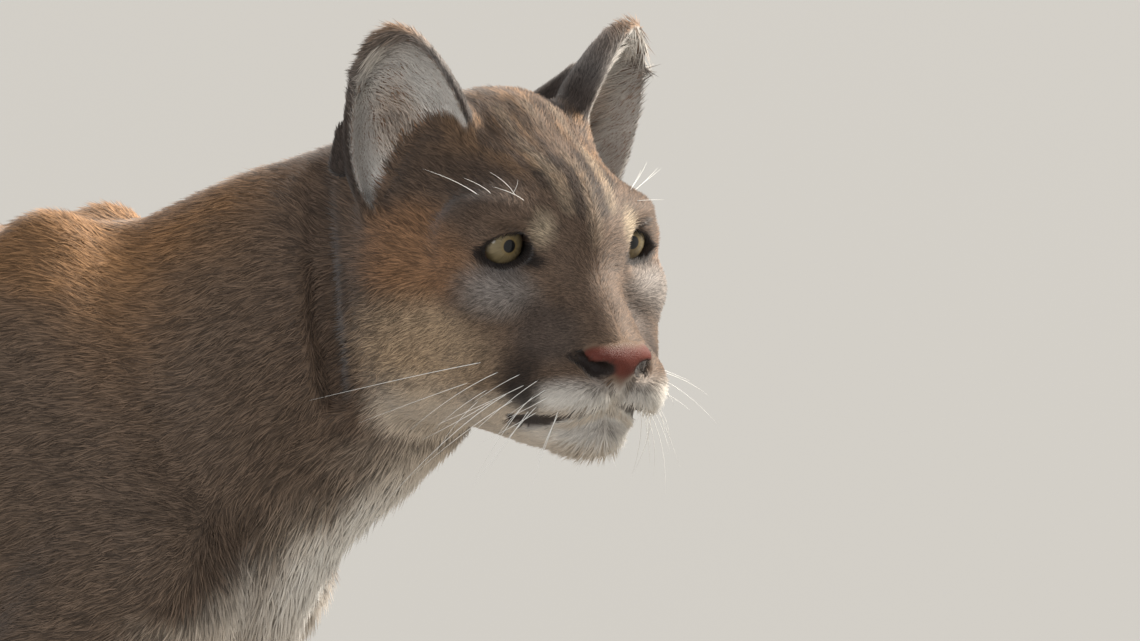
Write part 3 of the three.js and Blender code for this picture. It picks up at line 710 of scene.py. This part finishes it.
def coat_material(name, roughness, bump_scale, bump_size):
    """Colour from the painted markings, painted light and painted shade, broken up by fine grain."""
    made, nodes, links, shader = material(
        name, Roughness=roughness, Specular_IOR_Level=0.25, Sheen_Weight=0.12, Sheen_Roughness=0.5)
    paint = nodes.new("ShaderNodeAttribute")
    paint.attribute_name = "coat"
    grain = nodes.new("ShaderNodeTexNoise")
    grain.inputs["Scale"].default_value = bump_scale
    grain.inputs["Detail"].default_value = 3
    place = nodes.new("ShaderNodeTexCoord")
    links.new(place.outputs["Object"], grain.inputs["Vector"])
    shade = nodes.new("ShaderNodeMapRange")
    shade.inputs["To Min"].default_value = 0.82
    shade.inputs["To Max"].default_value = 1.18
    links.new(grain.outputs["Fac"], shade.inputs["Value"])
    blend = nodes.new("ShaderNodeVectorMath")
    blend.operation = "SCALE"
    links.new(paint.outputs["Color"], blend.inputs[0])
    links.new(shade.outputs["Result"], blend.inputs["Scale"])
    links.new(blend.outputs["Vector"], shader.inputs["Base Color"])
    if bump_size:
        bump = nodes.new("ShaderNodeBump")
        bump.inputs["Strength"].default_value = 0.6
        bump.inputs["Distance"].default_value = bump_size
        links.new(grain.outputs["Fac"], bump.inputs["Height"])
        links.new(bump.outputs["Normal"], shader.inputs["Normal"])
    return made


def lie_of(p, q, n):
    """The way the hair points at each root, in the skin's plane."""
    s = np.sign(q[:, 1])[:, None]
    part, front = head_part(q)
    v = np.tile(np.array([-1, 0, -0.28]), (len(p), 1))
    v = mixed(v, np.array([-0.8, 0, -0.55]), fade(p[:, 0], 40, 140))
    throat = fade(n @ np.array([0.74, 0.1, -0.66], F), 0.2, 0.7) * fade(p[:, 0], 60, 130)
    v = mixed(v, np.array([-0.5, 0, -0.85]), throat)
    leg = (1 - fade(p[:, 2], 330, 450)) * fade(p[:, 0], -800, -760)
    v = mixed(v, np.array([-0.2, 0, -1.0]), leg)
    foot = 1 - fade(p[:, 2], 35, 60)
    v = mixed(v, np.array([0.7, 0, -0.7]), leg * foot)
    on_tail = 1 - fade(p[:, 0], -745, -700)
    nearest = np.zeros(len(p), int)
    if (on_tail > 0).any():
        far = ((p[on_tail > 0][:, None] - TAIL_PATH[None].astype(F)) ** 2).sum(2)
        nearest[on_tail > 0] = far.argmin(1)
    along = unit(np.gradient(TAIL_PATH, axis=0))
    v = mixed(v, along[nearest], on_tail)
    h = np.array([-1, 0, 0.2]) + s * np.array([0, 0.25, 0])
    h = mixed(h, np.array([-0.75, 0, -0.5]) + s * np.array([0, 0.3, 0]), 1 - fade(q[:, 2], -40, 5))
    f = folded(q)
    pad = spot(f, (44, 22, -66), (36, 28, 26))
    h = mixed(h, np.array([-0.75, 0, -0.45]) + s * np.array([0, 0.5, 0]), pad)
    ear = 1 - fade(ears(q), -1, 6)
    up = EAR_FRAME[:, 2]
    h = mixed(h, up * np.array([1, 0, 1]) + s * up * np.array([0, 1, 0]), ear)
    cup = ear_parts(q, f)[1]
    fan = EAR_FRAME @ np.array([0.2, 0.35, 0.9])
    h = mixed(h, fan * np.array([1, 0, 1]) + s * fan * np.array([0, 1, 0]), ear * cup)
    v = mixed(v, h @ HEAD_TURN.T.astype(float), part)
    v = v - (v * n).sum(1, keepdims=True) * n
    return unit(v)


def coat_size(p, q, n):
    """Length and width of a tuft and how much it lifts off the skin."""
    part, front = head_part(q)
    f = folded(q)
    length = np.full(len(p), 9.5)
    throat = fade(n @ np.array([0.74, 0.1, -0.66], F), 0.3, 0.8) * fade(p[:, 0], 60, 130)
    length += 7 * throat
    length += 4 * fade(-n[:, 2], 0.3, 0.9) * fade(p[:, 2], 330, 380)
    length = length + (8 - length) * (1 - fade(p[:, 2], 160, 420)) * fade(p[:, 0], -800, -760)
    length = length + (4.5 - length) * (1 - fade(p[:, 2], 40, 90))
    head_length = 8.5 + (4.2 - 8.5) * front
    head_length = head_length + (5.5 - head_length) * spot(f, (-20, 0, 50), (70, 60, 36))
    head_length = head_length + (3.0 - head_length) * spot(f, (44, 0, -56), (44, 50, 46))
    head_length = head_length + (6.5 - head_length) * spot(f, (34, 0, -102), (34, 34, 14))
    ear = 1 - fade(ears(q), -1, 6)
    head_length = head_length + (4.0 - head_length) * ear
    cup = ear * ear_parts(q, f)[1]
    e = ear_local(f)
    rim = np.maximum(fade(e[:, 2], 12, 44), fade(np.abs(e[:, 1]), 12, 25))
    head_length = head_length + (13.0 - 9.0 * rim - head_length) * cup
    length = length + (head_length - length) * part
    width = (0.22 + 0.075 * length) * (1 - 0.5 * cup * part)
    lift = 0.2 + 0.25 * part * fade(-cheek_fold(f), -14, -4) + 0.12 * throat + 0.25 * cup * part * (1 - rim)
    return length, width, lift


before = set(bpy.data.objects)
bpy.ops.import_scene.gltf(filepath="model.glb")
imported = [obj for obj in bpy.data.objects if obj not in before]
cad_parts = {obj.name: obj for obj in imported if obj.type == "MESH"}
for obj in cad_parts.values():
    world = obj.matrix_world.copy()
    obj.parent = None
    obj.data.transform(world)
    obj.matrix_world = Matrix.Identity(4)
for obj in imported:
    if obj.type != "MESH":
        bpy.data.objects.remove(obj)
cad_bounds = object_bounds()
eye_low, eye_high = (np.array(corner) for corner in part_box("eye_right"))
eye_right_at = np.array(EYES_AT) + HEAD_TURN @ (np.array(EYE_AT) * (1, -1, 1))
SHIFT = (eye_low + eye_high) * 500 - eye_right_at
rng = np.random.default_rng(SEED)

xs = axis(-1236, (-760, 7), (-560, 5.5), (-20, 8), (130, 5.5), (180, 4), (395, 2.1))
ys = axis(-190, (172, 2.3))
zs = axis(-8, (70, 4), (500, 7.5), (548, 4), (796, 2.1))
values = sampled(skin_field, xs, ys, zs)
skin_points, skin_quads = surface(values, xs, ys, zs)
del values
skin_points = settled(skin_field, skin_points)
skin_normals = unit(slope(skin_field, skin_points))
skin_colours = coat_colour(skin_points, skin_normals)
skin = mesh_object("skin", skin_points, skin_quads, colours=skin_colours)
skin.data.materials.append(coat_material("skin_fur", 0.85, 900, 0.0006))
NODES = ["head", "ear_left", "ear_right", "neck", "torso", "foreleg_left", "foreleg_right",
         "hindleg_left", "hindleg_right", "tail_base", "tail_middle", "tail_tip"]
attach(skin, "root")
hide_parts(*NODES)

# The nose pad is bare and damp
made, nodes, links, shader = material("nose_leather", Roughness=0.55, Specular_IOR_Level=0.2)
paint = nodes.new("ShaderNodeAttribute")
paint.attribute_name = "coat"
links.new(paint.outputs["Color"], shader.inputs["Base Color"])
pores = nodes.new("ShaderNodeTexVoronoi")
pores.inputs["Scale"].default_value = 1100
bump = nodes.new("ShaderNodeBump")
bump.inputs["Strength"].default_value = 0.6
bump.inputs["Distance"].default_value = 0.0004
links.new(pores.outputs["Distance"], bump.inputs["Height"])
links.new(bump.outputs["Normal"], shader.inputs["Normal"])
skin.data.materials.append(made)
centres = skin_points[skin_quads].mean(1)
q_centres, f_centres = to_head(centres)
close = np.sqrt((q_centres ** 2).sum(1)) < 130
bare = np.zeros(len(centres), bool)
bare[close] = nose_pad(f_centres[close]) < 0.9
skin.data.polygons.foreach_set("material_index", bare.astype(np.int32))


def triangle_area(t):
    return 0.5 * np.sqrt((np.cross(t[:, 1] - t[:, 0], t[:, 2] - t[:, 0]) ** 2).sum(1))


# Roots of the tufts: spread over the skin so that each place is covered about evenly
tri = np.concatenate([skin_quads[:, [0, 1, 2]], skin_quads[:, [0, 2, 3]]])
mid = skin_points[tri].mean(1)
mid_normal = unit(skin_normals[tri].mean(1))
mid_q, mid_f = to_head(mid)
length, width, _ = coat_size(mid, mid_q, mid_normal)
part = head_part(mid_q)[0]
seen = np.maximum(part, fade(mid[:, 0], -190, -20) * fade(mid[:, 2], 380, 470))
coarser = 1.9 - 0.9 * seen
cover = triangle_area(skin_points[tri]) / (length * width * coarser ** 2)
cover *= 0.45 + 0.55 * seen + 0.5 * seen * (mid[:, 1] < 30)
eye_off = np.sqrt((local(mid_f, EYE_AT) ** 2).sum(1))
bare_skin = (nose_pad(mid_f) < 1.2) | (eye_off < SOCKET_RADIUS + 0.8)
bare_skin |= (mouth_groove(mid_f) < 2.5) | ((mid[:, 2] < 4) & (mid_normal[:, 2] < -0.5))
cover[bare_skin & (np.abs(mid_q).max(1) < 140) | (mid[:, 2] < 4)] = 0
count = rng.poisson(cover / cover.sum() * TUFTS)
pick = np.repeat(np.arange(len(tri)), count)
a, b = rng.random((2, len(pick)))
over = a + b > 1
a[over], b[over] = 1 - a[over], 1 - b[over]
corner = skin_points[tri[pick]]
root = corner[:, 0] + a[:, None] * (corner[:, 1] - corner[:, 0]) + b[:, None] * (corner[:, 2] - corner[:, 0])
root = root.astype(F)
weights = np.stack([1 - a - b, a, b], 1)[:, :, None]
normal = unit((skin_normals[tri[pick]] * weights).sum(1))
root_q, root_f = to_head(root)
length, width, lift = coat_size(root, root_q, normal)
grow = coarser[pick]
size = 0.75 + 0.5 * rng.random(len(root))
length = length * size * (0.6 + 0.4 * grow)
width = width * size * grow
lie = lie_of(root, root_q, normal)
swirl = np.stack([noise(root, (9, 9, 9), s) for s in (21, 22, 23)], 1) - 0.5
lie = lie + 0.7 * swirl + 0.16 * rng.normal(size=lie.shape)
lie = unit(lie - (lie * normal).sum(1, keepdims=True) * normal)
across = np.cross(normal, lie)
lift = lift + 0.25 * (noise(root, (7, 7, 7), 31) - 0.3) + 0.06 * rng.normal(size=len(root))
lift = np.clip(lift, 0.06, 0.6)
tip = root + (lie * np.cos(lift)[:, None] + normal * np.sin(lift)[:, None]) * length[:, None]
base = root - normal * 0.35
half = across * width[:, None] * 0.5
ridge = normal * width[:, None] * 0.55
tuft_points = np.stack([base + half, base - half, base + ridge, tip], 1)
tuft_normals = np.stack([unit(normal + 0.7 * across), unit(normal - 0.7 * across),
                         unit(normal), unit(normal * 0.9 + lie * 0.35)], 1)
colour = coat_colour(root, normal, hair=True)
vary = 0.66 + 0.68 * rng.random(len(root)) + 0.3 * (noise(root, (5, 5, 5), 41) - 0.5)
pale = fade(colour.mean(1), 0.3, 0.6)
vary = vary + (1 - vary) * 0.6 * pale
colour = colour * vary[:, None]
dark_tip = (rng.random(len(root)) < 0.4 / grow) & (pale < 0.3)
tip_colour = colour * np.where(dark_tip, 0.4 + 0.25 * (grow - 1), 1.35 - 0.25 * pale)[:, None]
# Painted shade inside the coat: each tuft's root corners darkened, its upper root corner a little less
shade = (0.6 + 0.3 * pale)[:, None]
tuft_colours = np.stack([colour * shade, colour * shade, colour * (shade + 0.14), tip_colour], 1)
keep = tuft_points[:, :, 2].min(1) >= FLOOR_CLEARANCE
print("tufts", len(root), "kept", keep.sum())

# Unwrap of the skin's own shape, region by region
EARS, HEAD, NECK, TORSO, FORELEGS, HINDLEGS, TAIL = range(7)
region = np.full(len(root), TORSO)
region[root[:, 0] < -735] = TAIL
legs = (root[:, 2] < 440) & (np.abs(root[:, 1]) > 34) & (root[:, 0] > -770)
region[legs & (root[:, 0] > -300)] = FORELEGS
region[legs & (root[:, 0] < -300)] = HINDLEGS
region[(root[:, 0] > 40) & (root[:, 2] > 440)] = NECK
head_share = head_part(root_q)[0]
region[head_share > 0.55] = HEAD
region[(ears(root_q) < 3) & (head_share > 0.5)] = EARS


def around(y, z):
    return (np.arctan2(y, z) / math.pi + 1) / 2


NAMES = ["coat_ears", "coat_head", "coat_neck", "coat_torso", "coat_forelegs", "coat_hindlegs", "coat_tail"]
coat_made = coat_material("coat_fur", 0.7, 2400, 0)
for number, name in enumerate(NAMES):
    chosen = np.flatnonzero(keep & (region == number))
    if not len(chosen):
        continue
    p = root[chosen]
    f = root_f[chosen]
    side = (root_q[chosen, 1] if number in (EARS, HEAD) else p[:, 1]) > 0
    if number == EARS:
        e = local(f, EAR_AT, EAR_FRAME)
        n = (normal[chosen] @ HEAD_TURN) * np.where(side, 1, -1)[:, None] ** np.array([0, 1, 0])
        n = n @ EAR_FRAME
        u = (around(n[:, 0], n[:, 1]) + side) / 2
        v = (e[:, 2] + 70) / 150
    elif number == HEAD:
        u = (root_q[chosen, 0] + 150) / 240
        v = around(root_q[chosen, 1], root_q[chosen, 2] + 20)
    elif number == NECK:
        u = (p[:, 0] * 0.86 + p[:, 2] * 0.5 - 240) / 420
        v = around(p[:, 1], (p[:, 2] - 600) * 0.86 - (p[:, 0] - 110) * 0.5)
    elif number == TORSO:
        u = (p[:, 0] + 760) / 880
        v = around(p[:, 1], p[:, 2] - 510)
    elif number in (FORELEGS, HINDLEGS):
        drift = np.interp(p[:, 2], [0, 60, 205, 285, 405], [-650, -670, -700, -640, -560])
        cx = drift if number == HINDLEGS else np.interp(p[:, 2], [0, 60, 250, 440], [58, 42, 14, 20])
        v = (around(p[:, 0] - cx, np.abs(p[:, 1]) - 88) + side) / 2
        u = p[:, 2] / 450
    else:
        far = ((p[:, None] - TAIL_PATH[None].astype(F)) ** 2).sum(2).argmin(1)
        centre = TAIL_PATH[far]
        v = around(p[:, 1] - centre[:, 1], (p[:, 2] - centre[:, 2]) * 0.7 + (centre[:, 0] - p[:, 0]) * 0.7)
        u = (-p[:, 0] - 730) / 500
    place = np.stack([np.clip(u, 0.004, 0.996), np.clip(v, 0.004, 0.996)], 1)
    order = np.argsort(place[:, 0], kind="stable")
    pieces = max(1, math.ceil(len(chosen) / PIECE_TUFTS))
    for i, group in enumerate(np.array_split(order, pieces)):
        ids = chosen[group]
        n = len(ids)
        corners = np.array([[-0.5, -0.5], [0.5, -0.5], [0, 0], [0, 0.5]]) * UV_PATCH
        uv = (place[group][:, None] + corners[None]).reshape(-1, 2)
        faces = (np.arange(n)[:, None, None] * 4
                 + np.array([[0, 2, 3], [2, 1, 3], [1, 0, 3], [0, 1, 2]])[None]).reshape(-1, 3)
        piece = mesh_object(f"{name}_{i + 1}", tuft_points[ids].reshape(-1, 3), faces,
                            normals=tuft_normals[ids].reshape(-1, 3),
                            colours=np.clip(tuft_colours[ids].reshape(-1, 3), 0, 1), uv=uv)
        piece.data.materials.append(coat_made)
        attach(piece, "root")

# Eyes: a ball with its rings about the gaze, bulging at the front, with a wet coat
eye_made, nodes, links, shader = material(
    "eye", Roughness=0.5, Specular_IOR_Level=0.2, Coat_Weight=0.45, Coat_Roughness=0.03)
paint = nodes.new("ShaderNodeAttribute")
paint.attribute_name = "coat"
links.new(paint.outputs["Color"], shader.inputs["Base Color"])
RINGS = np.radians(np.concatenate([np.linspace(0, 60, 70), np.linspace(64, 180, 20)]))
for side, name in ((1, "eye_left"), (-1, "eye_right")):
    low, high = (np.array(corner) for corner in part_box(name))
    centre = (low + high) * 500 - SHIFT
    turn = np.linspace(0, 2 * math.pi, EYE_SEGMENTS, endpoint=False)
    ring, seg = np.meshgrid(RINGS, turn, indexing="ij")
    gaze = turned(2.0 * side, 1.0)
    offs = np.stack([np.cos(ring), np.sin(ring) * np.cos(seg), np.sin(ring) * np.sin(seg)], -1)
    bulge = 1 + 0.055 * (1 - fade(np.degrees(ring), 20, 56))
    points = (offs * bulge[..., None] * EYE_RADIUS).reshape(-1, 3) @ gaze.T @ HEAD_TURN.T + centre
    radius = np.degrees(ring).ravel()
    iris_at = math.degrees(math.asin(IRIS_RADIUS / EYE_RADIUS))
    pupil_at = math.degrees(math.asin(PUPIL_RADIUS / EYE_RADIUS))
    fibre = noise(np.stack([seg.ravel() * 14, radius * 0.05, np.full(radius.shape, side)], 1), 1.0, 5)
    fibre2 = noise(np.stack([seg.ravel() * 30, radius * 0.1, np.full(radius.shape, side)], 1), 1.0, 6)
    c = np.tile(IRIS, (len(points), 1)) * (0.72 + 0.4 * fibre + 0.22 * fibre2)[:, None]
    c = mixed(c, IRIS_RIM, fade(radius, iris_at - 15, iris_at - 2) * 0.9)
    c = mixed(c, PUPIL_RIM, (1 - fade(radius, pupil_at + 1, pupil_at + 9)) * 0.6)
    c = mixed(c, EYE_WHITE, fade(radius, iris_at - 1, iris_at + 2))
    c = mixed(c, PUPIL, 1 - fade(radius, pupil_at - 1.2, pupil_at + 1.2))
    grid = np.arange(len(points)).reshape(len(RINGS), EYE_SEGMENTS)
    nxt = np.roll(grid, -1, 1)
    quads = np.stack([grid[:-1], grid[1:], nxt[1:], nxt[:-1]], -1).reshape(-1, 4)
    piece = mesh_object(f"{name}_ball", points, quads, colours=np.clip(c, 0, 1))
    piece.data.materials.append(eye_made)
    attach(piece, "root")
    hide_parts(name)


# Whiskers, brow and chin bristles, in the head's frame
def hair_tube(points, faces, start, way, sag, length, thick, steps=9, sides=5):
    """Adds one thin tapering tube, open at both ends: its root, direction, droop, length, thickness."""
    t = np.linspace(0, 1, steps)[:, None]
    path = start + way * t * length + np.array(sag) * (t ** 2) * length
    tangent = unit(np.gradient(path, axis=0))
    one = unit(np.cross(tangent, [0.3, 0.2, 1.0]))
    two = np.cross(tangent, one)
    first = sum(len(block) for block in points)
    turn = np.linspace(0, 2 * math.pi, sides, endpoint=False)
    radius = thick * (1 - t) ** 0.7 * 0.9 + thick * 0.1
    ring = path[:, None] + radius[:, None] * (
        np.cos(turn)[None, :, None] * one[:, None] + np.sin(turn)[None, :, None] * two[:, None])
    points.append(ring.reshape(-1, 3))
    grid = first + np.arange(steps * sides).reshape(steps, sides)
    nxt = np.roll(grid, -1, 1)
    faces.append(np.stack([grid[:-1], grid[1:], nxt[1:], nxt[:-1]], -1).reshape(-1, 4))


hair_points, hair_faces = [], []
for side in (1, -1):
    flip = np.array([1, side, 1])
    for row in range(4):
        for i in range(5):
            start = np.array([58 - 7.5 * i - row, 25 + 3 * i, -60 - 6.2 * row + 1.2 * i])
            way = unit(np.array([0.35 - 0.22 * i, 0.95, -0.3 - 0.2 * row]) + 0.14 * rng.normal(size=3))
            sag = np.array([-0.35, -0.1, -0.3]) + 0.16 * rng.normal(size=3)
            length = (38 + 8 * i) * (0.65 + 0.55 * rng.random())
            hair_tube(hair_points, hair_faces, start * flip, way * flip, sag * flip, length, 0.24)
    for i in range(5):
        start = np.array([14 - 5 * i, 30 + 4 * i, 23 + 1.5 * (i % 2)])
        way = unit(np.array([0.35 - 0.08 * i, 0.75, 0.5]) + 0.25 * rng.normal(size=3))
        hair_tube(hair_points, hair_faces, start * flip, way * flip, np.array([-0.4, 0.1 * side, -0.15]),
                  22 + 14 * rng.random(), 0.2)
    for i in range(5):
        start = np.array([52 - 8 * i, 6 + 3 * i, -100 + i])
        way = unit(np.array([0.4, 0.25, -1.0]) + 0.15 * rng.normal(size=3))
        hair_tube(hair_points, hair_faces, start * flip, way * flip, np.array([-0.2, 0, 0]),
                  12 + 8 * rng.random(), 0.22)
whisker_points = np.concatenate(hair_points) @ HEAD_TURN.T + np.array(EYES_AT)
whiskers = mesh_object("whiskers", whisker_points, np.concatenate(hair_faces))
hair_made = material("whisker", Roughness=0.45, Base_Color=(0.83, 0.81, 0.76, 1))[0]
whiskers.data.materials.append(hair_made)
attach(whiskers, "root")

# Floor, light and camera
floor_mesh = bpy.data.meshes.new("floor")
floor_turn = [2 * math.pi * i / FLOOR_SIDES for i in range(FLOOR_SIDES)]
floor_mesh.from_pydata([(FLOOR_RADIUS * math.cos(t), FLOOR_RADIUS * math.sin(t), 0) for t in floor_turn],
                       [], [tuple(range(FLOOR_SIDES))])
floor = bpy.data.objects.new("floor", floor_mesh)
bpy.context.scene.collection.objects.link(floor)
floor_made = material("floor_paint", Roughness=0.9, Base_Color=FLOOR_COLOUR)[0]
floor.data.materials.append(floor_made)
floor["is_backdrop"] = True

azimuth, elevation = np.radians([CAMERA_AZIMUTH, CAMERA_ELEVATION])
right = np.array([np.cos(azimuth), np.sin(azimuth), 0])
back = np.array([np.sin(azimuth) * np.cos(elevation), -np.cos(azimuth) * np.cos(elevation),
                 np.sin(elevation)])
up = np.cross(back, right)
target = (np.array(EYES_AT) + SHIFT + right * (PHOTO_SIZE[0] / 2 - EYES_PIXEL[0]) * PIXEL
          - up * (PHOTO_SIZE[1] / 2 - EYES_PIXEL[1]) * PIXEL)


def look(thing, at, to):
    """Places a light or camera and turns its -Z to a point."""
    from_vector = np.array(at) - np.array(to)
    z = unit(from_vector)
    x = unit(np.cross([0, 0, 1], z))
    y = np.cross(z, x)
    rows = [[x[i], y[i], z[i], at[i]] for i in range(3)] + [[0, 0, 0, 1]]
    thing.matrix_world = Matrix([[float(v) for v in row] for row in rows])


camera_data = bpy.data.cameras.new("camera")
camera_data.sensor_width = SENSOR
camera_data.lens = SENSOR * CAMERA_DISTANCE / (PHOTO_SIZE[0] * PIXEL)
camera_data.clip_end = 200
camera = bpy.data.objects.new("camera", camera_data)
bpy.context.scene.collection.objects.link(camera)
look(camera, (target + back * CAMERA_DISTANCE) * 0.001, target * 0.001)
bpy.context.scene.camera = camera


def area_light(name, at, size, power, colour):
    data = bpy.data.lights.new(name, "AREA")
    data.shape = "DISK"
    data.size = size
    data.energy = power
    data.color = colour
    lamp = bpy.data.objects.new(name, data)
    bpy.context.scene.collection.objects.link(lamp)
    look(lamp, at, LIT_POINT)


sun = bpy.data.lights.new("key", "SUN")
sun.energy = SUN_ENERGY
sun.angle = math.radians(SUN_SPREAD)
sun.color = (1.0, 0.95, 0.87)
key = bpy.data.objects.new("key", sun)
bpy.context.scene.collection.objects.link(key)
look(key, (2.6, 1.9, 2.9), LIT_POINT)
area_light("fill", (0.6, -3.4, 1.2), 1.6, 40, (0.93, 0.96, 1.0))
area_light("rim", (-1.8, 2.4, 2.4), 1.2, 50, (1.0, 0.96, 0.9))
world = bpy.data.worlds.new("world")
bpy.context.scene.world = world
world.use_nodes = True
world.node_tree.nodes["Background"].inputs["Color"].default_value = (0.8, 0.81, 0.83, 1)
world.node_tree.nodes["Background"].inputs["Strength"].default_value = WORLD_STRENGTH
bpy.context.scene.view_settings.view_transform = "Standard"

lists = [[float(v) for v in corner] for box in (cad_bounds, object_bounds()) for corner in box]
